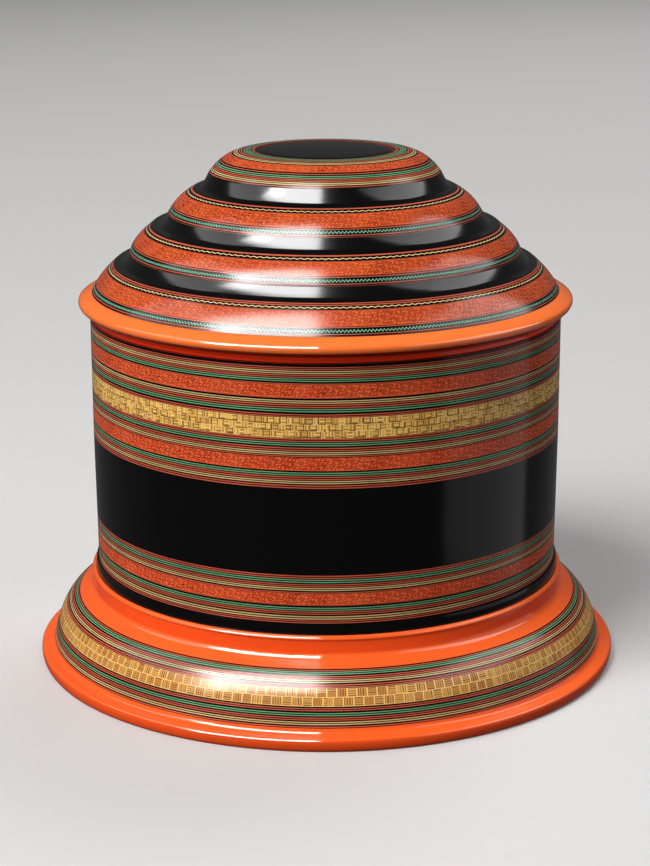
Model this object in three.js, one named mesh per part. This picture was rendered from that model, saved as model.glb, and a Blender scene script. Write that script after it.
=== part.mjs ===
// Lacquered betel box with a stepped dome lid, two lift-out trays and a flared foot.
// Millimetres, +Z up, origin at the middle of the ring that the foot stands on.
// Every piece is a turned ring or disc, so each one is a closed profile revolved about Z.

import * as THREE from 'three';

// Driving dimensions
const FACETS = 48;
const FIT_GAP = 0.3;
const HALF_GAP = FIT_GAP / 2;

const WALL_RADIUS = 120;
const WALL_FOOT_RADIUS = 119.2;
const WALL_THICKNESS = 4.5;
const WALL_INNER_RADIUS = 115.5;
const BOX_MOUTH_HEIGHT = 180;
const HOOP_TOP_HEIGHT = 52.8;
const HOOP_BOTTOM_HEIGHT = 47.9;
const HOOP_RADIUS = 120.9;

const RIM_TOP_HEIGHT = 9.7;
const FOOT_BAND_BOTTOM = [143.6, RIM_TOP_HEIGHT];
const FOOT_BAND_TOP = [129.7, 34.1];
const FOOT_BAND_SWELL = 3.9;
const FOOT_FLARE_TOP = [122, 46.2];
const FOOT_FLARE_CORNER = [122, 38];
const FOOT_BEAD = [122.5, 46.8];
const FOOT_INNER_TOP = [123.5, 32.9];
const FOOT_THICKNESS = 5;
const RIM_FACE = [[144.3, 8.7], [145.6, 8.2], [148.3, 7.4], [149.6, 6.8], [150.4, 4.3], [150, 1.5], [148.7, 0]];

const FLOOR_THICKNESS = 4;
const COLLAR_RADIUS = 115.2;
const COLLAR_THICKNESS = 3;
const COLLAR_BOTTOM_HEIGHT = 150;
const COLLAR_TOP_HEIGHT = 191;
const LEDGE_WIDTH = 11;
const LEDGE_THICKNESS = 5;
const LEDGE_TOP_HEIGHT = 101;

const TRAY_RADIUS = 111;
const TRAY_HEIGHT = 42;
const TRAY_WALL = 3;
const TRAY_FLOOR = 3;
const TRAY_LIP_WIDTH = 7;
const TRAY_LIP_THICKNESS = 2;

const FLANGE_TOP_HEIGHT = 192.5;
const FLANGE_LIP = [[122.2, 191], [125, 189.3], [125.75, 187.6], [125.3, 186.1], [123, 184.1], [120.4, 183.1]];
const SKIRT_RADIUS = 119.4;
const SKIRT_TOP_HEIGHT = 182;
const SKIRT_THICKNESS = 1.4;
const LID_HOOP_RADIUS = 117.7;
const LID_HOOP_THICKNESS = 2;
const DOME_THICKNESS = 4;
const DOME_SEAT_WIDTH = 5.3;
const DISC_RADIUS = 34.5;
const DISC_EDGE_HEIGHT = 262.2;
const DISC_CROWN = 0.8;
const DISC_THICKNESS = 4.2;

// Each tier runs from its upper edge out and down to its lower edge.
// The cove below a tier is bent round its corner, on the way to the next tier.
const TIERS = [
  { top: [34.5, 262.2], bottom: [59.2, 250.6], swell: 3.9, coveCorner: [63, 244.4] },
  { top: [65.3, 244.1], bottom: [79.5, 231.3], swell: 1.65, coveCorner: [83.8, 225.9] },
  { top: [87.8, 225.5], bottom: [99.3, 211.9], swell: 1.8, coveCorner: [103.4, 206.8] },
  { top: [107.1, 206.4], bottom: [118.8, FLANGE_TOP_HEIGHT], swell: 0.9 },
];
const COVE_STEPS = 3;
const TIER_STEPS = 4;
const BEND_PULL = 0.9;

const COLOURS = {
  orange: 0xd4502a,
  red: 0xa8321c,
  bands: 0x9a3a22,
  black: 0x0c0a0a,
};

// Profile helpers: a profile point is [radius, height]
function arc(from, to, swell, steps) {
  // points along a shallow curve that stands swell proud of its chord, up and outwards
  const dr = to[0] - from[0];
  const dz = to[1] - from[1];
  const length = Math.hypot(dr, dz);
  const normal = [-dz / length, dr / length];
  const points = [];
  for (let i = 0; i <= steps; i += 1) {
    const t = i / steps;
    const lift = 4 * swell * t * (1 - t);
    points.push([from[0] + dr * t + normal[0] * lift, from[1] + dz * t + normal[1] * lift]);
  }
  return points;
}

function bend(from, corner, to, steps) {
  // a hollow curve that leaves towards the corner and arrives from it
  const towards = (end, axis) => end[axis] + (corner[axis] - end[axis]) * BEND_PULL;
  const curve = new THREE.CubicBezierCurve(
    new THREE.Vector2(...from),
    new THREE.Vector2(towards(from, 0), towards(from, 1)),
    new THREE.Vector2(towards(to, 0), towards(to, 1)),
    new THREE.Vector2(...to),
  );
  return curve.getPoints(steps).map((point) => [point.x, point.y]);
}

function shell(outer, thickness) {
  // the inner line of a shell of even thickness, point for point below its outer line
  return outer.map((point, i) => {
    const before = outer[Math.max(i - 1, 0)];
    const after = outer[Math.min(i + 1, outer.length - 1)];
    const dr = after[0] - before[0];
    const dz = after[1] - before[1];
    const length = Math.hypot(dr, dz);
    return [point[0] + (dz / length) * thickness, point[1] - (dr / length) * thickness];
  });
}

function rectangle(innerRadius, outerRadius, bottom, top) {
  return [
    [outerRadius, top],
    [outerRadius, bottom],
    [innerRadius, bottom],
    [innerRadius, top],
  ];
}

function stretch(outer, inner, first, last) {
  // one piece of a shell: its two ends are drawn back square to the cut by half the fitting gap
  const ends = (index, side) => {
    const dr = inner[index][0] - outer[index][0];
    const dz = inner[index][1] - outer[index][1];
    const length = Math.hypot(dr, dz);
    const shift = [(-dz / length) * HALF_GAP * side, (dr / length) * HALF_GAP * side];
    return [outer[index], inner[index]].map((point) => [point[0] + shift[0], point[1] + shift[1]]);
  };
  const [outerStart, innerStart] = ends(first, 1);
  const [outerEnd, innerEnd] = ends(last, -1);
  return [
    outerStart, ...outer.slice(first + 1, last), outerEnd,
    innerEnd, ...inner.slice(first + 1, last).reverse(), innerStart,
  ];
}

// Finish and assembly helpers
function finish(colour, roughness) {
  return new THREE.MeshStandardMaterial({ color: colour, roughness, metalness: 0 });
}

function turned(name, profile, colour, roughness = 0.25) {
  // a profile drawn down the outside and back up the inside, turned about Z
  const onAxis = profile[0][0] === 0 && profile[profile.length - 1][0] === 0;
  const closed = onAxis ? profile : [...profile, profile[0]];
  const points = closed.map(([radius, height]) => new THREE.Vector2(radius, height)).reverse();
  const geometry = new THREE.LatheGeometry(points, FACETS);
  geometry.rotateX(Math.PI / 2);
  const mesh = new THREE.Mesh(geometry, finish(colour, roughness));
  mesh.name = name;
  return mesh;
}

function disc(name, radius, bottom, top, colour) {
  return turned(name, [[0, top], [radius, top], [radius, bottom], [0, bottom]], colour);
}

// Foot: a flared shell that stands on its rim hoop
function footRimHoop() {
  const inner = FOOT_BAND_BOTTOM[0] - FOOT_THICKNESS;
  const top = RIM_TOP_HEIGHT - FIT_GAP;
  return turned('foot_rim_hoop', [
    [FOOT_BAND_BOTTOM[0], top],
    ...RIM_FACE,
    [inner, 0],
    [inner, top],
  ], COLOURS.orange);
}

function footSkirt() {
  const seat = HOOP_BOTTOM_HEIGHT - FIT_GAP;
  const innerBottom = [FOOT_BAND_BOTTOM[0] - FOOT_THICKNESS, RIM_TOP_HEIGHT];
  const floorSeat = WALL_INNER_RADIUS - 8;
  return turned('foot_skirt', [
    [HOOP_RADIUS + 0.6, seat],
    FOOT_BEAD,
    ...bend(FOOT_FLARE_TOP, FOOT_FLARE_CORNER, FOOT_BAND_TOP, 4),
    ...arc(FOOT_BAND_TOP, FOOT_BAND_BOTTOM, FOOT_BAND_SWELL, 6).slice(1),
    ...arc(innerBottom, FOOT_INNER_TOP, -FOOT_BAND_SWELL, 3),
    [floorSeat, seat - FOOT_THICKNESS],
    [floorSeat, seat],
  ], COLOURS.bands);
}

// Box: wall, base hoop, floor, and the collar and ledge inside the wall
function baseHoop() {
  const top = HOOP_TOP_HEIGHT - FIT_GAP;
  return turned('base_hoop', [
    [WALL_FOOT_RADIUS + 0.9, top],
    [WALL_FOOT_RADIUS + 1.3, top - 1],
    [HOOP_RADIUS, HOOP_BOTTOM_HEIGHT],
    [WALL_INNER_RADIUS, HOOP_BOTTOM_HEIGHT],
    [WALL_INNER_RADIUS, top],
  ], COLOURS.black);
}

function boxWall() {
  const mouth = BOX_MOUTH_HEIGHT - HALF_GAP;
  return turned('box_wall', [
    [WALL_RADIUS - 0.5, mouth],
    [WALL_RADIUS, mouth - 0.5],
    [WALL_RADIUS, 120],
    [WALL_FOOT_RADIUS, HOOP_TOP_HEIGHT],
    [WALL_RADIUS - WALL_THICKNESS, HOOP_TOP_HEIGHT],
    [WALL_RADIUS - WALL_THICKNESS, mouth],
  ], COLOURS.bands);
}

function boxFloor() {
  const bottom = HOOP_BOTTOM_HEIGHT;
  return disc('box_floor', WALL_INNER_RADIUS - FIT_GAP, bottom, bottom + FLOOR_THICKNESS, COLOURS.red);
}

function neckCollar() {
  const inner = COLLAR_RADIUS - COLLAR_THICKNESS;
  return turned('neck_collar', [
    [COLLAR_RADIUS - 1, COLLAR_TOP_HEIGHT],
    [COLLAR_RADIUS, COLLAR_TOP_HEIGHT - 1.5],
    [COLLAR_RADIUS, COLLAR_BOTTOM_HEIGHT],
    [inner, COLLAR_BOTTOM_HEIGHT],
    [inner, COLLAR_TOP_HEIGHT],
  ], COLOURS.red);
}

function trayLedge() {
  const bottom = LEDGE_TOP_HEIGHT - LEDGE_THICKNESS;
  return turned('tray_ledge',
    rectangle(COLLAR_RADIUS - LEDGE_WIDTH, COLLAR_RADIUS, bottom, LEDGE_TOP_HEIGHT), COLOURS.red);
}

// Trays: each is a walled ring with a lip that carries a loose-laid floor
function tray(label, bottom) {
  const lipInner = TRAY_RADIUS - TRAY_LIP_WIDTH;
  const wallInner = TRAY_RADIUS - TRAY_WALL;
  const top = bottom + TRAY_HEIGHT;
  const lipTop = bottom + TRAY_LIP_THICKNESS;
  const wall = turned(`${label}_wall`, [
    [TRAY_RADIUS - 0.8, top],
    [TRAY_RADIUS, top - 0.8],
    [TRAY_RADIUS, bottom],
    [lipInner, bottom],
    [lipInner, lipTop],
    [wallInner, lipTop],
    [wallInner, top],
  ], COLOURS.red);
  const floorBottom = lipTop + FIT_GAP;
  const floor = disc(`${label}_floor`, wallInner - FIT_GAP, floorBottom, floorBottom + TRAY_FLOOR,
    COLOURS.red);
  return [wall, floor];
}

// Lid: stepped dome on a sloping flange, with a hoop that slips over the collar
function lidTiers() {
  // the whole dome is drawn as one line, then cut at the foot of each tier
  const outer = [TIERS[0].top];
  const cuts = [0];
  TIERS.forEach((tier, index) => {
    if (index > 0) {
      const above = TIERS[index - 1];
      outer.push(...bend(above.bottom, above.coveCorner, tier.top, COVE_STEPS).slice(1));
    }
    outer.push(...arc(tier.top, tier.bottom, tier.swell, TIER_STEPS).slice(1));
    cuts.push(outer.length - 1);
  });
  const inner = shell(outer, DOME_THICKNESS);
  // the lowest edge is cut level, to sit flat on the flange
  const lowest = outer.length - 1;
  inner[lowest] = [outer[lowest][0] - DOME_SEAT_WIDTH, outer[lowest][1]];
  return TIERS.map((_, index) => turned(
    `lid_tier_${index + 1}`,
    stretch(outer, inner, cuts[index], cuts[index + 1]),
    COLOURS.bands,
  ));
}

function lidTopDisc() {
  const radius = DISC_RADIUS - FIT_GAP;
  const bottom = DISC_EDGE_HEIGHT - DISC_THICKNESS;
  return turned('lid_top_disc', [
    [0, DISC_EDGE_HEIGHT + DISC_CROWN],
    [radius * 0.6, DISC_EDGE_HEIGHT + DISC_CROWN * 0.64],
    [radius, DISC_EDGE_HEIGHT],
    [radius, bottom],
    [0, bottom],
  ], COLOURS.black);
}

function lidFlange() {
  const inner = SKIRT_RADIUS - SKIRT_THICKNESS;
  const top = FLANGE_TOP_HEIGHT - HALF_GAP;
  const seam = BOX_MOUTH_HEIGHT + HALF_GAP;
  return turned('lid_flange', [
    [SKIRT_RADIUS, top],
    ...FLANGE_LIP,
    [SKIRT_RADIUS, SKIRT_TOP_HEIGHT],
    [SKIRT_RADIUS, seam],
    [inner, seam],
    [inner, top],
  ], COLOURS.orange);
}

function lidInnerHoop() {
  return turned('lid_inner_hoop', rectangle(
    LID_HOOP_RADIUS - LID_HOOP_THICKNESS,
    LID_HOOP_RADIUS,
    BOX_MOUTH_HEIGHT + HALF_GAP,
    FLANGE_TOP_HEIGHT - HALF_GAP,
  ), COLOURS.red);
}

const lowerTrayBottom = LEDGE_TOP_HEIGHT + FIT_GAP;
const upperTrayBottom = lowerTrayBottom + TRAY_HEIGHT + FIT_GAP;

const box = new THREE.Group();
box.add(footRimHoop(), footSkirt(), baseHoop(), boxWall(), boxFloor(), neckCollar(), trayLedge());

const lowerTray = new THREE.Group();
lowerTray.add(...tray('lower_tray', lowerTrayBottom));

const upperTray = new THREE.Group();
upperTray.add(...tray('upper_tray', upperTrayBottom));

const lid = new THREE.Group();
lid.add(lidTopDisc(), ...lidTiers(), lidFlange(), lidInnerHoop());

const betelBox = new THREE.Group();
betelBox.add(box, lowerTray, upperTray, lid);

export default betelBox;
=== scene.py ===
# %% [markdown]
# # A lacquered betel box
# The box is made of turned and coiled bamboo under many coats of black lacquer. Fine lines are cut
# into the black while it turns and are rubbed full of red, green and yellow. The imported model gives
# the true sizes; this script turns a smooth, fine mesh for every piece and gives it its finish.

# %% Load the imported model
import math

import bpy
from mathutils import Matrix, Vector


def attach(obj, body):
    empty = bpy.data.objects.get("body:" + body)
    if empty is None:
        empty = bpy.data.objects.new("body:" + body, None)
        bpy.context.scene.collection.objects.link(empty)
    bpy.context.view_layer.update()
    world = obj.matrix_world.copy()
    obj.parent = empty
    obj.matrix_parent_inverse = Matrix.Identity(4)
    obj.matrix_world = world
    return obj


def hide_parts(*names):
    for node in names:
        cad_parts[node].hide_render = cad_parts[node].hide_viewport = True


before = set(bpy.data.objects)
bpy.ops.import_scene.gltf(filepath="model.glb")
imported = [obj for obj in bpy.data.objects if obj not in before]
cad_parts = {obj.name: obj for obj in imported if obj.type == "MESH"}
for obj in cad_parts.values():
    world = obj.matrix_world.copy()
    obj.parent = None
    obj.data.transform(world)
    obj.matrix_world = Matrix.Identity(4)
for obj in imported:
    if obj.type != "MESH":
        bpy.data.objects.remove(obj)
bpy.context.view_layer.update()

MM = 0.001

# %% [markdown]
# ## Camera
# The photograph looks down on the box by about fifteen degrees from a little over a metre away. A
# long lens keeps the ellipses of the tiers as flat as they are in the picture.

# %% Camera
CAMERA_SIDE = 0.0005
CAMERA_DISTANCE = 1.1109
CAMERA_HEIGHT = 0.4154
CAMERA_PITCH_DEG = 15.15
CAMERA_ROLL_DEG = 0.19
LENS_MM = 92.0
SENSOR_MM = 36.0

camera_data = bpy.data.cameras.new("camera")
camera_data.lens = LENS_MM
camera_data.sensor_width = SENSOR_MM
camera_data.sensor_fit = "AUTO"
camera = bpy.data.objects.new("camera", camera_data)
camera.location = (CAMERA_SIDE, -CAMERA_DISTANCE, CAMERA_HEIGHT)
camera.rotation_euler = (math.radians(90 - CAMERA_PITCH_DEG), math.radians(CAMERA_ROLL_DEG), 0)
bpy.context.scene.collection.objects.link(camera)
bpy.context.scene.camera = camera
bpy.context.scene.view_settings.view_transform = "Standard"

# %% [markdown]
# ## Floor and light
# Glossy lacquer shows its lamps as bright shapes, so the lamps are placed for their reflections. A
# large soft panel hangs in front, high and to the left. Its right edge ends near the middle of the
# box, and it fades upwards. A dimmer wing stands on the left, and a card close on the right. All of
# these are seen in the gloss only. Four more panels, which the gloss doesn't show, light the colours.

# %% Floor and light
FLOOR_COLOUR = (0.5, 0.495, 0.49)
WORLD_COLOUR = (0.72, 0.72, 0.73)
WORLD_STRENGTH = 0.12
BOX_MIDDLE = 0.2


def add_panel(name, centre, across, up, size, radiance, in_gloss=True):
    """A flat lamp that shines away from across x up. It shows in the gloss, or else lights the colours."""
    data = bpy.data.lights.new(name, "AREA")
    data.shape = "RECTANGLE"
    data.size, data.size_y = size
    data.energy = radiance * math.pi * size[0] * size[1]
    across = Vector(across).normalized()
    up = Vector(up).normalized()
    turned = Matrix((across, up, across.cross(up))).transposed().to_4x4()
    lamp = bpy.data.objects.new(name, data)
    lamp.matrix_world = Matrix.Translation(centre) @ turned
    lamp.visible_camera = False
    lamp.visible_glossy = in_gloss
    lamp.visible_diffuse = not in_gloss
    bpy.context.scene.collection.objects.link(lamp)


KEY_REACH = 1.04
KEY_LEFT, KEY_RIGHT = -1.05, -0.05
# lowest and highest angle in degrees, radiance
KEY_STRIPS = [(27, 50, 43.0), (50, 60, 43.0), (60, 65, 38.0), (65, 70, 22.0), (70, 74, 7.0)]
for low, high, radiance in KEY_STRIPS:
    rise = math.radians((low + high) / 2)
    height = 2 * KEY_REACH * math.tan(math.radians((high - low) / 2))
    key_y, key_z = -KEY_REACH * math.cos(rise), BOX_MIDDLE + KEY_REACH * math.sin(rise)
    centre = ((KEY_LEFT + KEY_RIGHT) / 2, key_y, key_z)
    key_up = (0, math.sin(rise), math.cos(rise))
    add_panel(f"key_{low}", centre, (1, 0, 0), key_up, (KEY_RIGHT - KEY_LEFT, height), radiance)

UPRIGHT = (0, 0, 1)
WING_SIDE, WING_MIDDLE_HEIGHT, WING_HEIGHT = -0.95, 0.95, 0.9
# name, middle, width, radiance
WING_STRIPS = [
    ("wing_front", -0.78, 0.3, 24.0),
    ("wing_near", -0.49, 0.28, 5.5),
    ("wing_far", -0.02, 0.66, 3.4),
]
for name, middle, width, radiance in WING_STRIPS:
    centre = (WING_SIDE, middle, WING_MIDDLE_HEIGHT)
    add_panel(name, centre, (0, -1, 0), UPRIGHT, (width, WING_HEIGHT), radiance)

CARD_SIDE, CARD_FOOT = 0.6, 0.36
# nearest and farthest edge, top, radiance
CARD_STRIPS = [
    (-0.85, -0.6, 1.0, 2.0),
    (-0.6, -0.42, 0.98, 3.2),
    (-0.42, -0.22, 0.95, 4.2),
    (-0.22, 0.24, 0.9, 5.0),
]
for near, far, top, radiance in CARD_STRIPS:
    centre = (CARD_SIDE, (near + far) / 2, (CARD_FOOT + top) / 2)
    add_panel("side_card", centre, (0, 1, 0), UPRIGHT, (far - near, top - CARD_FOOT), radiance)
add_panel("side_card_foot", (0.25, -0.11, 0.14), (0, 1, 0), UPRIGHT, (0.22, 0.28), 0.5)


def light_from(name, round_deg, up_deg, level):
    """Light the colours from one direction: at level 1 a face turned to it shows its own colour."""
    reach, side = 6.0, 3.0
    a, e = math.radians(round_deg), math.radians(up_deg)
    toward = Vector((math.sin(a) * math.cos(e), -math.cos(a) * math.cos(e), math.sin(e)))
    across = Vector((math.cos(a), math.sin(a), 0))
    radiance = math.pi * level * (reach / side) ** 2
    add_panel(name, toward * reach, across, toward.cross(across), (side, side), radiance, in_gloss=False)


light_from("front_light", -43, 48, 1.1)
light_from("low_light", -50, 6, 0.33)
light_from("side_light", 78, 22, 0.2)
light_from("back_light", 150, 50, 0.5)

world = bpy.data.worlds.new("studio")
bpy.context.scene.world = world
world.use_nodes = True
world_background = world.node_tree.nodes["Background"]
world_background.inputs["Color"].default_value = (*WORLD_COLOUR, 1)
world_background.inputs["Strength"].default_value = WORLD_STRENGTH

# %% [markdown]
# ## Writing shader maths as expressions
# A stripe pattern is arithmetic on one coordinate. The small class below wraps a node socket, so
# that an expression on it adds the Math nodes that work it out.


# %% Shader expressions
class Shade:
    """A number that varies over a surface, as a node socket."""

    def __init__(self, finish, socket):
        self.finish = finish
        self.socket = socket

    def __add__(self, other):
        return self.finish.math("ADD", self, other)

    def __sub__(self, other):
        return self.finish.math("SUBTRACT", self, other)

    def __mul__(self, other):
        return self.finish.math("MULTIPLY", self, other)

    def __truediv__(self, other):
        return self.finish.math("DIVIDE", self, other)

    def __lt__(self, other):
        return self.finish.math("LESS_THAN", self, other)

    def __gt__(self, other):
        return self.finish.math("GREATER_THAN", self, other)

    __radd__ = __add__

    def fraction(self):
        return self.finish.math("FRACT", self)

    def whole(self):
        return self.finish.math("FLOOR", self)

    def size(self):
        return self.finish.math("ABSOLUTE", self)

    def larger(self, other):
        return self.finish.math("MAXIMUM", self, other)


class Finish:
    """One material: its shader and the nodes that feed it."""

    def __init__(self, name, **constants):
        self.material = bpy.data.materials.new(name)
        self.material.use_nodes = True
        self.tree = self.material.node_tree
        self.shader = self.tree.nodes["Principled BSDF"]
        for socket_name, value in constants.items():
            self.shader.inputs[socket_name.replace("_", " ")].default_value = value

    def node(self, kind, settings=None, sockets=None):
        node = self.tree.nodes.new(kind)
        for key, value in (settings or {}).items():
            if key == "stops":
                set_stops(node.color_ramp, value)
            elif key == "interpolation":
                node.color_ramp.interpolation = value
            else:
                setattr(node, key, value)
        for key, value in (sockets or {}).items():
            self.connect(node.inputs[key], value)
        return node

    def connect(self, socket, value):
        if isinstance(value, Shade):
            self.tree.links.new(value.socket, socket)
        elif isinstance(value, bpy.types.NodeSocket):
            self.tree.links.new(value, socket)
        else:
            socket.default_value = value

    def math(self, operation, *values):
        node = self.node("ShaderNodeMath", {"operation": operation}, dict(enumerate(values)))
        return Shade(self, node.outputs[0])

    def steps(self, along, stops):
        """A colour that changes in sharp steps along a coordinate from 0 to 1."""
        settings = {"interpolation": "CONSTANT", "stops": stops}
        return self.node("ShaderNodeValToRGB", settings, {"Fac": along}).outputs["Color"]

    def grey_steps(self, along, stops):
        grey = [(at, (value, value, value, 1)) for at, value in stops]
        return Shade(self, self.steps(along, grey))

    def mix(self, factor, first, second):
        node = self.node("ShaderNodeMix", {"data_type": "RGBA"})
        for index, value in ((0, factor), (6, first), (7, second)):
            self.connect(node.inputs[index], value)
        return node.outputs[2]

    def deepened(self, colour):
        """The colour multiplied by itself: darker and purer."""
        node = self.node("ShaderNodeMix", {"data_type": "RGBA", "blend_type": "MULTIPLY"})
        for index, value in ((0, 1.0), (6, colour), (7, colour)):
            self.connect(node.inputs[index], value)
        return node.outputs[2]

    def noise(self, scale, detail=2.0, vector=None):
        sockets = {"Scale": scale, "Detail": detail}
        sockets["Vector"] = vector or self.node("ShaderNodeTexCoord").outputs["Object"]
        return Shade(self, self.node("ShaderNodeTexNoise", None, sockets).outputs["Fac"])

    def random(self, x, y):
        vector = self.node("ShaderNodeCombineXYZ", None, {0: x, 1: y}).outputs[0]
        node = self.node("ShaderNodeTexWhiteNoise", {"noise_dimensions": "2D"}, {"Vector": vector})
        return Shade(self, node.outputs["Value"])

    def turning(self):
        """Where a point lies on a turned piece: turns round the axis, and millimetres along it."""
        uv = self.node("ShaderNodeUVMap", {"uv_map": "Turning"}).outputs["UV"]
        split = self.node("ShaderNodeSeparateXYZ", None, {0: uv})
        return Shade(self, split.outputs["X"]), Shade(self, split.outputs["Y"])

    def bump(self, height, distance):
        node = self.node("ShaderNodeBump", None, {"Height": height, "Distance": distance})
        self.tree.links.new(node.outputs["Normal"], self.shader.inputs["Normal"])


def set_stops(ramp, stops):
    elements = ramp.elements
    while len(elements) > 1:
        elements.remove(elements[-1])
    for index, (position, colour) in enumerate(stops):
        element = elements[0] if index == 0 else elements.new(position)
        element.position = position
        element.color = colour


# %% [markdown]
# ## Turning a piece
# Every piece is round, so one helper turns a closed outline about the upright axis. The outline
# comes in runs, one for each finish. Each face keeps two numbers in a UV map called Turning: how far
# round it is, and how many millimetres it lies along its run. The finishes draw their stripes there.

# %% Turned pieces
SEGMENTS = 288
SHARP_DEG = 32
SAME_POINT = 1e-6
pieces = []


def add_ring(vertices, point):
    """Add the vertices of one ring and return their numbers. On the axis, one vertex does for all."""
    radius, height = point
    start = len(vertices)
    if radius < SAME_POINT:
        vertices.append((0.0, 0.0, height * MM))
        return [start] * SEGMENTS
    for k in range(SEGMENTS):
        angle = 2 * math.pi * k / SEGMENTS - math.pi / 2
        vertices.append((radius * MM * math.cos(angle), radius * MM * math.sin(angle), height * MM))
    return list(range(start, start + SEGMENTS))


def add_strip(faces, turning, first, second, along, further):
    """Join two rings with faces. Each corner keeps its turns round and its millimetres along."""
    for k in range(SEGMENTS):
        m = (k + 1) % SEGMENTS
        corners = [first[k], second[k], second[m], first[m]]
        maps = [
            (k / SEGMENTS, along),
            (k / SEGMENTS, further),
            ((k + 1) / SEGMENTS, further),
            ((k + 1) / SEGMENTS, along),
        ]
        kept = [i for i in range(4) if corners[i] != corners[i - 1]]
        faces.append([corners[i] for i in kept])
        turning.extend(maps[i] for i in kept)


def turned_mesh(name, runs):
    vertices, faces, turning, finishes, finish_of_face = [], [], [], [], []
    first_point = runs[0][0][0]
    first_ring = last_ring = add_ring(vertices, first_point)
    for points, finish in runs:
        if finish.material not in finishes:
            finishes.append(finish.material)
        along = 0.0
        for index, (here, there) in enumerate(zip(points, points[1:])):
            is_last = points is runs[-1][0] and index == len(points) - 2
            closes = is_last and math.dist(there, first_point) < SAME_POINT
            next_ring = first_ring if closes else add_ring(vertices, there)
            further = along + math.dist(here, there)
            add_strip(faces, turning, last_ring, next_ring, along, further)
            finish_of_face.extend([finishes.index(finish.material)] * SEGMENTS)
            along, last_ring = further, next_ring
    mesh = bpy.data.meshes.new(name)
    mesh.from_pydata(vertices, [], faces)
    for material in finishes:
        mesh.materials.append(material)
    mesh.polygons.foreach_set("material_index", finish_of_face)
    layer = mesh.uv_layers.new(name="Turning")
    layer.data.foreach_set("uv", [value for pair in turning for value in pair])
    mesh.shade_smooth()
    mesh.set_sharp_from_angle(angle=math.radians(SHARP_DEG))
    mesh.validate()
    return mesh


def turn_piece(name, body, nodes, runs):
    """runs: [(outline points in mm, finish), ...], joined end to end into one closed outline."""
    piece = bpy.data.objects.new(name, turned_mesh(name, runs))
    bpy.context.scene.collection.objects.link(piece)
    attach(piece, body)
    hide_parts(*nodes)
    pieces.append(name)


def swell(start, end, rise, steps, lean=0.0):
    """A shallow curve that stands rise proud of its chord. A lean moves its fullest part to one end."""
    (r0, z0), (r1, z1) = start, end
    length = math.hypot(r1 - r0, z1 - z0)
    normal = (-(z1 - z0) / length, (r1 - r0) / length)
    points = []
    for i in range(steps + 1):
        t = i / steps
        lift = 4 * rise * t * (1 - t) * (1 + lean * (1 - 2 * t))
        points.append((r0 + (r1 - r0) * t + normal[0] * lift, z0 + (z1 - z0) * t + normal[1] * lift))
    return points


def bend(start, corner, end, pull, steps):
    """A hollow curve that leaves towards the corner and arrives from it."""
    points = []
    for i in range(steps + 1):
        t = i / steps
        near, early, late, far = (1 - t) ** 3, 3 * t * (1 - t) ** 2, 3 * t * t * (1 - t), t ** 3
        from_start, from_end = near + early * (1 - pull), far + late * (1 - pull)
        from_corner = (early + late) * pull
        points.append(tuple(
            start[axis] * from_start + corner[axis] * from_corner + end[axis] * from_end for axis in (0, 1)
        ))
    return points


SIDE_STEPS = 8
BEND_STEPS = 6
BEND_PULL = 0.6


def step_out(start, corner, end, rounding, hollow):
    """A steep, slightly hollow side down to a tight bend at the corner, then a short ledge."""
    def before_corner(point):
        share = rounding / math.dist(point, corner)
        return tuple(corner[axis] + (point[axis] - corner[axis]) * share for axis in (0, 1))

    side_end, ledge_start = before_corner(start), before_corner(end)
    side = swell(start, side_end, -hollow, SIDE_STEPS)
    return [*side[:-1], *bend(side_end, corner, ledge_start, BEND_PULL, BEND_STEPS), end]


def run_length(points):
    return sum(math.dist(a, b) for a, b in zip(points, points[1:]))


# %% [markdown]
# ## Colours of the lacquer
# The colours are those of the pigments under clear lacquer: vermilion, a deeper red where it is
# cut into black, a bluish green, an ochre yellow, and black that is nearly neutral. The orange also
# has copies with light and shade painted in: lighter on the flange top, and darker, deeper reds on
# steep sides, under the flange and on its skirt.


# %% Colours
def linear(red, green, blue):
    """A screen colour from 0 to 255 as the linear colour that a shader takes."""
    values = []
    for channel in (red, green, blue):
        value = channel / 255
        values.append(value / 12.92 if value <= 0.04045 else ((value + 0.055) / 1.055) ** 2.4)
    return (*values, 1.0)


BLACK = linear(7, 6, 6)
ORANGE = linear(244, 98, 38)
VERMILION = linear(234, 102, 50)
HATCH_RED = linear(248, 106, 58)
LINE_RED = linear(240, 112, 80)
GREEN = linear(130, 196, 140)
MINT = linear(150, 240, 190)
YELLOW = linear(255, 220, 150)
WEAVE_YELLOW = linear(255, 206, 112)
WEAVE_EDGE = linear(255, 214, 130)
WEAVE_BROWN = linear(92, 48, 14)
WEAVE_TAN = linear(198, 130, 62)
HATCH_DARK = linear(48, 8, 5)
# Copies of the orange with light and shade painted in: lighter for the flange top that faces the light,
# darker red for steep sides as painted shade, deep red for the flange's underside and skirt as painted shade
# under the lip.
LIT_TOP_ORANGE = linear(255, 121, 53)
SHADED_SIDE_RED = linear(236, 80, 26)
SHADED_UNDER_RED = linear(128, 10, 3)
SHADED_SKIRT_RED = linear(250, 60, 16)
INNER_RED = linear(168, 40, 22)

PAINT = {
    "black": BLACK, "red": LINE_RED, "green": GREEN, "mint": MINT, "yellow": YELLOW,
    "vermilion": VERMILION, "hatch red": HATCH_RED, "weave": WEAVE_YELLOW,
}


# %% [markdown]
# ## Plain lacquer
# Plain lacquer isn't perfectly even: it has faint patches of different depth and gloss, and the coat
# is very slightly wavy.


# %% Plain lacquer
WAVINESS = 0.0002


def plain_lacquer(name, colour, roughness, specular, mottling=0.04):
    finish = Finish(name, IOR=1.5, Specular_IOR_Level=specular)
    patches = finish.noise(9.0, 3.0)
    cloud = finish.noise(38.0, 4.0)
    darker = tuple(channel * 0.88 for channel in colour[:3]) + (1.0,)
    finish.connect(finish.shader.inputs["Base Color"], finish.mix(patches, darker, colour))
    finish.connect(finish.shader.inputs["Roughness"], cloud * mottling + (roughness - mottling / 2))
    finish.bump(finish.noise(14.0, 2.0), WAVINESS)
    return finish


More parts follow.
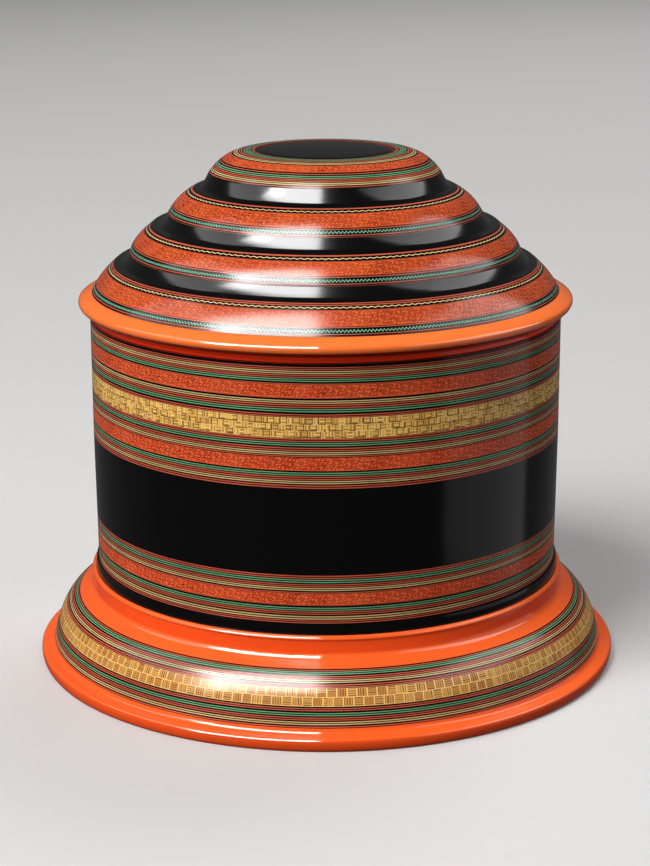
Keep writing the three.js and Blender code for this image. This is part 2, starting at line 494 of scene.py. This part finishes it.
orange_lacquer = plain_lacquer("orange_lacquer", ORANGE, 0.07, 0.35, 0.03)
# Lit and shaded copies of the orange lacquer: painted shade on steep sides, painted light on the flange top,
# painted shade under the flange and on its skirt.
shaded_side_lacquer = plain_lacquer("shaded_side_lacquer", SHADED_SIDE_RED, 0.07, 0.35, 0.03)
lit_top_lacquer = plain_lacquer("lit_top_lacquer", LIT_TOP_ORANGE, 0.07, 0.35, 0.03)
shaded_under_lacquer = plain_lacquer("shaded_under_lacquer", SHADED_UNDER_RED, 0.12, 0.3, 0.03)
shaded_skirt_lacquer = plain_lacquer("shaded_skirt_lacquer", SHADED_SKIRT_RED, 0.12, 0.3, 0.03)
black_lacquer = plain_lacquer("black_lacquer", BLACK, 0.15, 0.25)
crown_lacquer = plain_lacquer("crown_lacquer", BLACK, 0.08, 0.1)
inner_lacquer = plain_lacquer("inner_red_lacquer", INNER_RED, 0.34, 0.4)

# %% [markdown]
# ## Engraved bands
# A band is a recipe: lines in a colour, bands of hatching, basket-work, running waves and zigzags,
# each with its width. Stepped ramps turn the recipe into nodes: one for the colour, one for where
# the present stripe began, one for its width, one for how many lines it holds and one for its kind.
# The cuts have no relief: they are only drawn, and are a little duller than the coat round them.

# %% Engraved bands
ENGRAVED_GLOSS, ENGRAVED_ROUGHNESS, CUT_DULLNESS = 0.21, 0.15, 0.05
WANDER_MM = 0.16
LINE_SHARE = 0.22
LINE_ROW_MM = 0.9
BETWEEN_LINES_DARKNESS = 0.95
STRIPE_EDGE_MM = 0.24
HATCH_PITCH_MM = 1.05
HATCH_BLOCK_MM = 6.0
HATCH_DASH_MM = 2.4
HATCH_DASH_SHARE = 0.74
HATCH_BLOCK_LEAN = 0.14
SHALLOW_SLANT, STEEP_SLANT = math.radians(42), math.radians(58)
# length of one run up and down in mm, height as a share of the stripe, thickness in mm
WAVE = (3.4, 0.4, 0.4)
ZIGZAG = (1.7, 0.5, 0.34)
KINDS = {"plain": 0.0, "lines": 0.16, "hatch": 0.32, "weave": 0.48, "zigzag": 0.64, "wave": 0.8}
KIND_TOLERANCE = 0.05
MOST_LINES = 8
# rows of cells, cell width in mm, strokes in a cell, with a bright outline or not
FINE_WEAVE = (3, 3.0, 2.0, False)
BROAD_WEAVE = (2, 4.8, 4.0, True)
WEAVE_ROW_SHIFT = 0.37


class Band(Finish):
    """An engraved finish, with the place of a point inside its own stripe of the recipe."""

    def __init__(self, name, recipe, length, round_mm):
        super().__init__(name, IOR=1.5, Specular_IOR_Level=ENGRAVED_GLOSS)
        self.round_mm = round_mm
        self.turns, along = self.turning()
        wander = (self.noise(16.0, 2.0) - 0.5) * WANDER_MM
        t = (along + wander) / length
        total = sum(entry[2] for entry in recipe)
        stops = [[] for _ in range(5)]
        position = 0.0
        for kind, colour, width, count in recipe:
            values = (PAINT[colour], position, width / total, count / MOST_LINES, KINDS[kind])
            for ramp, value in zip(stops, values):
                ramp.append((position, value))
            position += width / total
        self.paint = self.steps(t, stops[0])
        start, width, count, self.kind = (self.grey_steps(t, ramp) for ramp in stops[1:])
        self.count = count * MOST_LINES
        self.inside = (t - start) * length
        self.across = (t - start) / width
        self.width_mm = width * length

    def is_kind(self, name):
        return (self.kind - KINDS[name]).size() < KIND_TOLERANCE

    def times_round(self, pitch_mm):
        return round(self.round_mm / pitch_mm)

    def uneven(self, scale_round, row):
        """A slow change of strength along each cut, different from one cut to the next."""
        vector = self.node("ShaderNodeCombineXYZ", None, {0: self.turns * scale_round, 1: row * 3.7, 2: 0.0})
        return self.noise(1.0, 2.0, vector.outputs[0])


def line_cuts(band):
    """Thin pale lines, with a dark shade of their colour between them and black at both sides."""
    phase = (band.across * band.count).fraction()
    line = (phase - 0.5).size() < LINE_SHARE
    row = (band.inside / LINE_ROW_MM).whole() + band.count
    strength = band.uneven(26.0, row)
    faded = band.mix((strength - 0.4) * 2.2, band.mix(0.35, band.paint, BLACK), band.paint)
    between = band.mix(BETWEEN_LINES_DARKNESS, band.deepened(band.paint), BLACK)
    edge = band.inside < STRIPE_EDGE_MM
    far_edge = (band.width_mm - band.inside) < STRIPE_EDGE_MM
    drawn = band.mix(line, between, faded)
    return band.mix(edge.larger(far_edge), drawn, BLACK), line


def hatch_cuts(band):
    """Slanting strokes in leaning blocks: each block has its own slant, spacing and depth of colour."""
    blocks = band.times_round(HATCH_BLOCK_MM)
    place = band.turns * blocks + band.inside * HATCH_BLOCK_LEAN
    block = place.whole()
    x = place.fraction() * HATCH_BLOCK_MM
    steep = band.random(block, 3.0) > 0.6
    chance = band.random(block, 8.0)
    across_stroke = steep * (math.sin(STEEP_SLANT) - math.sin(SHALLOW_SLANT)) + math.sin(SHALLOW_SLANT)
    down_stroke = steep * (math.cos(STEEP_SLANT) - math.cos(SHALLOW_SLANT)) + math.cos(SHALLOW_SLANT)
    run = x * across_stroke + band.inside * down_stroke
    pitch = chance * 0.15 + HATCH_PITCH_MM
    stroke_place = run / pitch + chance * 7.0
    along = x * 0.75 - band.inside * 0.55
    dash = (along / HATCH_DASH_MM + band.random(stroke_place.whole(), 5.0)).fraction() < HATCH_DASH_SHARE
    patches = band.noise(70.0, 3.0)
    share = patches * 0.4 + chance * 0.12 + 0.3
    stroke = ((stroke_place.fraction() - 0.5).size() * 2.0 < share) * dash
    depth_of_cut = band.random(stroke_place.whole(), block) * 0.25 + 0.75
    margin = (band.across - 0.5).size() < 0.46
    ground = band.mix(chance * 0.3, band.paint, band.deepened(band.paint))
    return band.mix(stroke * margin * depth_of_cut, ground, HATCH_DARK), stroke * margin


def weave_cuts(band, rows, cell_mm, strokes, outlined):
    """Square cells in a chequer: strokes lie along in one cell and stand upright in the next."""
    row_place = band.across * rows
    row = row_place.whole()
    column_place = band.turns * band.times_round(cell_mm) + row * WEAVE_ROW_SHIFT
    column = column_place.whole()
    u, v = column_place.fraction(), row_place.fraction()
    upright = ((column + row) / 2.0).fraction() > 0.25
    chance = band.random(column, row)
    run = Shade(band, band.mix(upright, v, u)) * strokes
    rest = Shade(band, band.mix(upright, u, v))
    stroke_chance = band.random(column * strokes + run.whole(), row + 11.0)
    inner = ((run.fraction() - 0.5).size() < 0.22) * ((rest - 0.5).size() < 0.4) * (stroke_chance * 0.7 + 0.3)
    if outlined:
        ground = band.mix(chance * 0.5 + 0.5, band.paint, WEAVE_TAN)
        drawn = band.mix(inner * 0.95, ground, WEAVE_BROWN)
        upright_edge = ((u - 0.5).size() > 0.44) * (chance * 0.6 + 0.4)
        outline = upright_edge.larger(((v - 0.5).size() > 0.46) * 0.8)
        return band.mix(outline, drawn, WEAVE_EDGE), inner
    ground = band.mix(chance * chance * 0.55, band.paint, WEAVE_TAN)
    drawn = band.mix(inner * 0.8, ground, WEAVE_BROWN)
    side_cut = (u > 0.86) * (band.random(column + 40.0, row) > 0.35)
    foot_cut = (v > 0.85) * (band.random(column + 80.0, row) > 0.45)
    return band.mix(side_cut.larger(foot_cut) * 0.92, drawn, WEAVE_BROWN), inner


def running_cut(band, pitch_mm, reach, thickness):
    """One line that runs up and down between black edges."""
    tooth = ((band.turns * band.times_round(pitch_mm)).fraction() - 0.5).size() * 2.0
    centre = 0.5 + (tooth - 0.5) * reach
    line = ((band.across - centre) * band.width_mm).size() < thickness / 2
    return band.mix(line, BLACK, band.paint), line


def engraved_lacquer(name, recipe, length, round_mm, weave_cells=FINE_WEAVE):
    """recipe: [(kind, colour, width in mm, number of lines), ...] from the top of the run to its end."""
    band = Band(name, recipe, length, round_mm)
    cutters = {
        "lines": lambda: line_cuts(band),
        "hatch": lambda: hatch_cuts(band),
        "weave": lambda: weave_cuts(band, *weave_cells),
        "zigzag": lambda: running_cut(band, *ZIGZAG),
        "wave": lambda: running_cut(band, *WAVE),
    }
    colour = band.paint
    dullness = 0.0
    for kind in sorted({entry[0] for entry in recipe} - {"plain"}):
        drawn, cut = cutters[kind]()
        chosen = band.is_kind(kind)
        colour = band.mix(chosen, colour, drawn)
        dullness = cut * chosen + dullness
    worn_patches = band.noise(60.0, 4.0)
    shaded = band.mix(worn_patches * 0.22, colour, BLACK)
    band.connect(band.shader.inputs["Base Color"], shaded)
    roughness = band.noise(40.0, 3.0) * 0.06 + dullness * CUT_DULLNESS + ENGRAVED_ROUGHNESS
    band.connect(band.shader.inputs["Roughness"], roughness)
    return band


def lines(colour, count, width):
    return ("lines", colour, width, count)


def gap(width):
    return ("plain", "black", width, 1)


def hatch(width, colour="vermilion"):
    return ("hatch", colour, width, 1)


def weave(width):
    return ("weave", "weave", width, 1)


def zigzag(width):
    return ("zigzag", "mint", width, 1)


def wave(width):
    return ("wave", "yellow", width, 1)


# %% [markdown]
# ## Foot
# The foot is a flared shell on a heavy rim hoop. Its swelling skirt carries the second belt of
# basket-work. The flare above is plain orange, with a small bead under the wall; its steep side and
# the rim's face are painted darker red as shade.

# %% Foot
FOOT_BAND_TOP = (129.7, 34.1)
FOOT_BAND_BOTTOM = (143.6, 9.7)
FOOT_BAND_SWELL = 2.7
FOOT_BAND_LEAN = 0.3
FOOT_FLARE_TOP = (122.1, 45.3)
FOOT_FLARE_CORNER = (122.6, 37.5)
FLARE_ROUNDING = 2.2
FOOT_INNER_TOP = (123.5, 32.9)
FOOT_THICKNESS = 5.0
FOOT_BAND_MIDDLE_RADIUS = 138
RIM_SPLIT = 9.55

foot_band = swell(FOOT_BAND_TOP, FOOT_BAND_BOTTOM, FOOT_BAND_SWELL, 24, FOOT_BAND_LEAN)
foot_engraving = engraved_lacquer(
    "foot_engraving",
    [
        gap(0.5), lines("red", 1, 0.9), lines("green", 2, 2.1), gap(0.4),
        lines("red", 2, 2.0), lines("yellow", 2, 1.9), gap(0.4), lines("red", 2, 2.0), weave(8.9),
        gap(0.6), lines("red", 2, 1.9), gap(0.4), lines("green", 2, 2.0), gap(0.2),
        lines("red", 2, 1.9), gap(0.2), lines("yellow", 2, 2.0), gap(0.2), lines("red", 1, 1.1),
    ],
    run_length(foot_band), 2 * math.pi * FOOT_BAND_MIDDLE_RADIUS, BROAD_WEAVE,
)
foot_bead = [
    (120.9, 47.6), (121.6, 47.5), (122.2, 47.2), (122.65, 46.7), (122.8, 46.1), (122.55, 45.65),
    FOOT_FLARE_TOP,
]
foot_flare = step_out(FOOT_FLARE_TOP, FOOT_FLARE_CORNER, FOOT_BAND_TOP, FLARE_ROUNDING, 0.0)
BEND_MIDDLE = SIDE_STEPS + 1
flare_side, flare_ledge = foot_flare[:BEND_MIDDLE + 1], foot_flare[BEND_MIDDLE:]
foot_inner_bottom = (FOOT_BAND_BOTTOM[0] - FOOT_THICKNESS, FOOT_BAND_BOTTOM[1])
foot_inside = [
    FOOT_BAND_BOTTOM, *swell(foot_inner_bottom, FOOT_INNER_TOP, -FOOT_BAND_SWELL, 12),
    (107.5, 42.6), (107.5, 47.6), (120.9, 47.6),
]
turn_piece("foot_skirt_shell", "box", ["foot_skirt"], [
    (foot_bead, orange_lacquer),
    # the flare's steep side is painted darker red as shade
    (flare_side, shaded_side_lacquer),
    (flare_ledge, orange_lacquer),
    (foot_band, foot_engraving),
    (foot_inside, black_lacquer),
])

rim_inner = foot_inner_bottom[0]
rim_top = [
    (143.5, RIM_SPLIT), (143.8, 8.6), (144.2, 7.7), (144.7, 7.2), (145.5, 6.95), (147.0, 6.75), (148.3, 6.6),
    (149.0, 6.45), (149.6, 6.2), (150.0, 5.8),
]
rim_face = [
    (150.0, 5.8), (150.3, 5.3), (150.4, 4.3), (150.3, 3.0), (150.0, 1.6),
    (149.5, 0.6), (148.7, 0.0), (rim_inner, 0.0), (rim_inner, RIM_SPLIT), (143.5, RIM_SPLIT),
]
turn_piece("foot_rim", "box", ["foot_rim_hoop"], [
    (rim_top, orange_lacquer),
    # the rim's face is painted darker red as shade
    (rim_face, shaded_side_lacquer),
])

# %% [markdown]
# ## Wall
# The wall is nearly straight. It carries two engraved belts with a wide band of plain black between
# them, and stands on a slightly wider black hoop.

# %% Wall
MOUTH_HEIGHT = 179.85
BELT_BOTTOM_HEIGHT = 119.8
LOW_BELT_TOP_HEIGHT = 77.3
HOOP_TOP = 52.8
WALL_RADIUS, WALL_FOOT_RADIUS = 120.0, 119.2
WALL_INNER_RADIUS = 115.5
TAPER_TOP_HEIGHT = 120.0


def wall_radius(height):
    if height >= TAPER_TOP_HEIGHT:
        return WALL_RADIUS
    share = (height - HOOP_TOP) / (TAPER_TOP_HEIGHT - HOOP_TOP)
    return WALL_FOOT_RADIUS + share * (WALL_RADIUS - WALL_FOOT_RADIUS)


upper_belt = [(wall_radius(z), z) for z in (MOUTH_HEIGHT, 160, 140, BELT_BOTTOM_HEIGHT)]
plain_band = [(wall_radius(z), z) for z in (BELT_BOTTOM_HEIGHT, 105, 90, LOW_BELT_TOP_HEIGHT)]
low_belt = [(wall_radius(z), z) for z in (LOW_BELT_TOP_HEIGHT, 65, HOOP_TOP)]
AROUND_WALL = 2 * math.pi * WALL_RADIUS

upper_engraving = engraved_lacquer(
    "upper_belt_engraving",
    [
        gap(1.2), lines("red", 2, 1.8), lines("yellow", 2, 1.9), lines("red", 2, 1.8), lines("green", 2, 1.9),
        gap(0.4), lines("red", 1, 0.8), hatch(6.0, "hatch red"), lines("red", 1, 0.7), gap(0.5),
        lines("yellow", 2, 1.9), lines("red", 2, 2.1), lines("green", 2, 2.1), gap(0.5), lines("red", 2, 1.9),
        weave(9.6), gap(0.2), lines("red", 2, 2.0), lines("green", 2, 2.0), gap(0.3), lines("red", 2, 2.1),
        lines("yellow", 2, 1.9), lines("red", 1, 0.9), hatch(6.5, "hatch red"), gap(0.6),
        lines("green", 2, 2.0), lines("red", 2, 2.1), lines("yellow", 2, 1.9), gap(0.2), lines("red", 2, 2.1),
    ],
    run_length(upper_belt), AROUND_WALL,
)
low_engraving = engraved_lacquer(
    "lower_belt_engraving",
    [
        lines("red", 2, 2.1), lines("green", 2, 2.2), gap(0.2), lines("red", 2, 1.9), lines("yellow", 2, 2.0),
        gap(0.3), lines("red", 1, 0.9), hatch(5.8, "hatch red"), lines("red", 1, 0.7), gap(0.5),
        lines("green", 2, 2.1), lines("red", 2, 2.0), gap(0.3), lines("yellow", 2, 2.3), lines("red", 2, 2.0),
    ],
    run_length(low_belt), AROUND_WALL,
)
wall_inside = [
    (wall_radius(HOOP_TOP), HOOP_TOP), (WALL_INNER_RADIUS, HOOP_TOP), (WALL_INNER_RADIUS, MOUTH_HEIGHT),
    (wall_radius(MOUTH_HEIGHT), MOUTH_HEIGHT),
]
turn_piece("wall", "box", ["box_wall"], [
    (upper_belt, upper_engraving),
    (plain_band, black_lacquer),
    (low_belt, low_engraving),
    (wall_inside, inner_lacquer),
])
hoop_outline = [
    (120.3, 52.5), (120.9, 48.4), (120.7, 47.9), (WALL_INNER_RADIUS, 47.9), (WALL_INNER_RADIUS, 52.5),
    (120.3, 52.5),
]
turn_piece("base_black_hoop", "box", ["base_hoop"], [(hoop_outline, black_lacquer)])

# %% [markdown]
# ## Inside the box
# Under the lid a collar stands up from the wall and holds the lid in place. A ledge lower down
# carries the trays, and the floor lies level with the black hoop.


# %% Inside the box
def flat_disc(name, body, node, radius, bottom, top, finish):
    edge = 0.4
    outline = [
        (0, top), (radius - edge, top), (radius, top - edge), (radius, bottom + edge),
        (radius - edge, bottom), (0, bottom),
    ]
    turn_piece(name, body, [node], [(outline, finish)])


collar_outline = [
    (115.2, 150.0), (112.2, 150.0), (112.2, 190.2), (112.6, 190.8), (113.4, 191.0), (114.2, 190.9),
    (114.9, 190.2), (115.2, 189.2), (115.2, 150.0),
]
turn_piece("neck_ring", "box", ["neck_collar"], [(collar_outline[::-1], inner_lacquer)])
ledge_outline = [
    (104.2, 101.0), (115.2, 101.0), (115.2, 96.0), (104.2, 96.0), (104.2, 101.0),
]
turn_piece("ledge_ring", "box", ["tray_ledge"], [(ledge_outline, inner_lacquer)])
flat_disc("floor_disc", "box", "box_floor", 115.2, 47.9, 51.9, inner_lacquer)

# %% [markdown]
# ## Trays
# Two shallow trays lie one on the other on the ledge. They are plain red inside and black outside.

# %% Trays
TRAY_BOTTOMS = {"lower_tray": 101.3, "upper_tray": 143.6}
TRAY_RADIUS, TRAY_INNER_RADIUS, TRAY_LIP_RADIUS = 111, 108, 104
TRAY_HEIGHT, TRAY_LIP_THICKNESS = 42, 2
TRAY_FLOOR_RADIUS, TRAY_FLOOR_BOTTOM, TRAY_FLOOR_TOP = 107.7, 2.3, 5.3
for label, bottom in TRAY_BOTTOMS.items():
    top, lip_top = bottom + TRAY_HEIGHT, bottom + TRAY_LIP_THICKNESS
    outline_outside = [
        (TRAY_RADIUS - 0.8, top), (TRAY_RADIUS, top - 0.8), (TRAY_RADIUS, bottom), (TRAY_LIP_RADIUS, bottom),
    ]
    outline_inside = [
        (TRAY_LIP_RADIUS, bottom), (TRAY_LIP_RADIUS, lip_top), (TRAY_INNER_RADIUS, lip_top),
        (TRAY_INNER_RADIUS, top - 0.6), (TRAY_INNER_RADIUS + 0.6, top), (TRAY_RADIUS - 0.8, top),
    ]
    turn_piece(label + "_ring", label, [label + "_wall"], [
        (outline_outside, black_lacquer),
        (outline_inside, inner_lacquer),
    ])
    floor_bottom, floor_top = bottom + TRAY_FLOOR_BOTTOM, bottom + TRAY_FLOOR_TOP
    flat_disc(label + "_disc", label, label + "_floor", TRAY_FLOOR_RADIUS, floor_bottom, floor_top,
              inner_lacquer)

# %% [markdown]
# ## Lid
# The lid is a dome of four swelling rings with a black hollow between each two, a black disc on top,
# and an orange flange with a sharp lip, whose short skirt meets the wall. The flange top is painted
# lighter as lit, and its underside and skirt deep red as shade.

# %% Lid
DOME_THICKNESS = 4.0
DOME_SEAT_WIDTH = 5.3
TIER_STEPS = 16
# top, bottom, rise of the swell, lean of the swell
TIERS = [
    ((34.5, 262.2), (58.7, 251.3), 3.9, 0.0),
    ((65.3, 244.1), (79.5, 231.3), 1.65, 0.0),
    ((87.8, 225.5), (99.3, 211.9), 1.4, -0.4),
    ((107.1, 206.4), (118.8, 192.5), 0.9, 0.0),
]
COVE_CORNERS = [(62.6, 244.2), (83.0, 225.6), (103.0, 206.6)]
COVE_ROUNDING = 1.3
COVE_HOLLOW = 0.15
TIER_RECIPES = [
    [
        gap(0.8), lines("red", 2, 1.9), gap(0.3), lines("green", 3, 3.7), gap(0.3), lines("red", 2, 2.1),
        gap(0.3), lines("yellow", 2, 2.5), gap(0.7), hatch(5.2), lines("red", 1, 0.7), gap(0.5),
        lines("red", 1, 0.9), gap(0.4), lines("green", 2, 2.2), lines("red", 2, 1.9),
        lines("yellow", 2, 2.0), gap(0.2), lines("red", 1, 0.9), gap(0.6),
    ],
    [
        gap(1.3), lines("red", 1, 1.8), gap(0.4), wave(1.7), gap(0.3), lines("red", 1, 0.7), hatch(8.1),
        gap(0.4), lines("red", 1, 0.9), zigzag(2.3), lines("red", 1, 0.9), gap(0.2), lines("red", 1, 0.6),
    ],
    [
        gap(0.7), lines("red", 1, 1.7), gap(0.2), wave(1.7), gap(0.5), lines("red", 1, 0.7), hatch(7.7),
        gap(0.4), lines("red", 1, 0.9), gap(0.3), zigzag(2.3), lines("red", 1, 0.9), gap(0.2),
        lines("red", 1, 0.6),
    ],
    [
        gap(0.4), lines("red", 2, 2.2), wave(1.7), gap(0.3), lines("red", 1, 0.7), hatch(8.0), gap(0.2),
        lines("red", 1, 0.9), gap(0.2), zigzag(2.3), lines("red", 1, 0.8), gap(0.2), lines("red", 1, 0.5),
    ],
]


def offset_inwards(points, thickness):
    """The same curve, moved square to itself towards the inside of the dome."""
    inner = []
    for i, (radius, height) in enumerate(points):
        before = points[max(i - 1, 0)]
        after = points[min(i + 1, len(points) - 1)]
        dr, dz = after[0] - before[0], after[1] - before[1]
        length = math.hypot(dr, dz)
        inner.append((radius + dz / length * thickness, height - dr / length * thickness))
    return inner


for index, (top, bottom, rise, lean) in enumerate(TIERS):
    band = swell(top, bottom, rise, TIER_STEPS, lean)
    runs = []
    outer = band
    if index > 0:
        cove = step_out(TIERS[index - 1][1], COVE_CORNERS[index - 1], top, COVE_ROUNDING, COVE_HOLLOW)
        runs.append((cove, black_lacquer))
        outer = cove[:-1] + band
    name = f"lid_tier_{index + 1}"
    around_tier = math.pi * (top[0] + bottom[0])
    finish = engraved_lacquer(name + "_engraving", TIER_RECIPES[index], run_length(band), around_tier)
    runs.append((band, finish))
    inner = offset_inwards(outer, DOME_THICKNESS)
    if index == len(TIERS) - 1:
        inner[-1] = (bottom[0] - DOME_SEAT_WIDTH, bottom[1])
    runs.append(([outer[-1], *reversed(inner), outer[0]], inner_lacquer))
    turn_piece(name + "_ring", "lid", [name], runs)

crown_outline = [
    (0, 263.0), (10, 262.93), (20, 262.74), (29, 262.5), (33, 262.3), (34.0, 262.0), (34.2, 261.6),
    (34.2, 258.0), (0, 258.0),
]
turn_piece("lid_crown_disc", "lid", ["lid_top_disc"], [(crown_outline, crown_lacquer)])

flange_top = [
    (118.0, 192.35), (118.9, 192.35), (120.5, 191.75), (122.2, 190.95), (123.8, 190.1), (124.8, 189.45),
    (125.3, 189.0), (125.6, 188.5), (125.75, 187.9), (125.75, 187.2), (125.5, 186.5), (125.1, 185.8),
]
flange_under = [(125.1, 185.8), (124.2, 184.9), (123.0, 184.1), (121.6, 183.5), (120.4, 183.1)]
flange_skirt = [
    (120.4, 183.1), (119.7, 182.6), (119.4, 182.0), (119.4, 180.4), (119.2, 180.2), (118.0, 180.2),
]
turn_piece("lid_flange_ring", "lid", ["lid_flange"], [
    # the top is painted lighter orange as lit; the underside and skirt are painted deep red as shade
    (flange_top, lit_top_lacquer),
    (flange_under, shaded_under_lacquer),
    (flange_skirt, shaded_skirt_lacquer),
    ([(118.0, 180.2), (118.0, 192.35)], inner_lacquer),
])
hoop_inside_outline = [
    (117.7, 192.3), (117.7, 180.2), (115.7, 180.2), (115.7, 192.3), (117.7, 192.3),
]
turn_piece("lid_hoop_ring", "lid", ["lid_inner_hoop"], [(hoop_inside_outline, inner_lacquer)])

# %% [markdown]
# ## Floor
# A plain pale floor that is wide enough to fill the picture from any side. The lacquer doesn't
# mirror it and it throws no light up on the box, as the box in the photograph has dark surroundings.


# %% Floor
def pale_floor():
    mesh = bpy.data.meshes.new("floor")
    reach = 14.0
    mesh.from_pydata(
        [(-reach, -reach, 0), (reach, -reach, 0), (reach, reach, 0), (-reach, reach, 0)], [], [(0, 1, 2, 3)],
    )
    finish = Finish("floor_paper", Roughness=0.9)
    grain = finish.noise(90.0, 3.0)
    darker = tuple(channel * 0.97 for channel in FLOOR_COLOUR) + (1.0,)
    finish.connect(finish.shader.inputs["Base Color"], finish.mix(grain, darker, (*FLOOR_COLOUR, 1.0)))
    mesh.materials.append(finish.material)
    floor = bpy.data.objects.new("floor", mesh)
    bpy.context.scene.collection.objects.link(floor)
    floor.visible_glossy = False
    floor.visible_diffuse = False


pale_floor()

# %% [markdown]
# ## Pieces
# The number of turned pieces is printed.

# %% Piece count
print("pieces:", len(pieces))
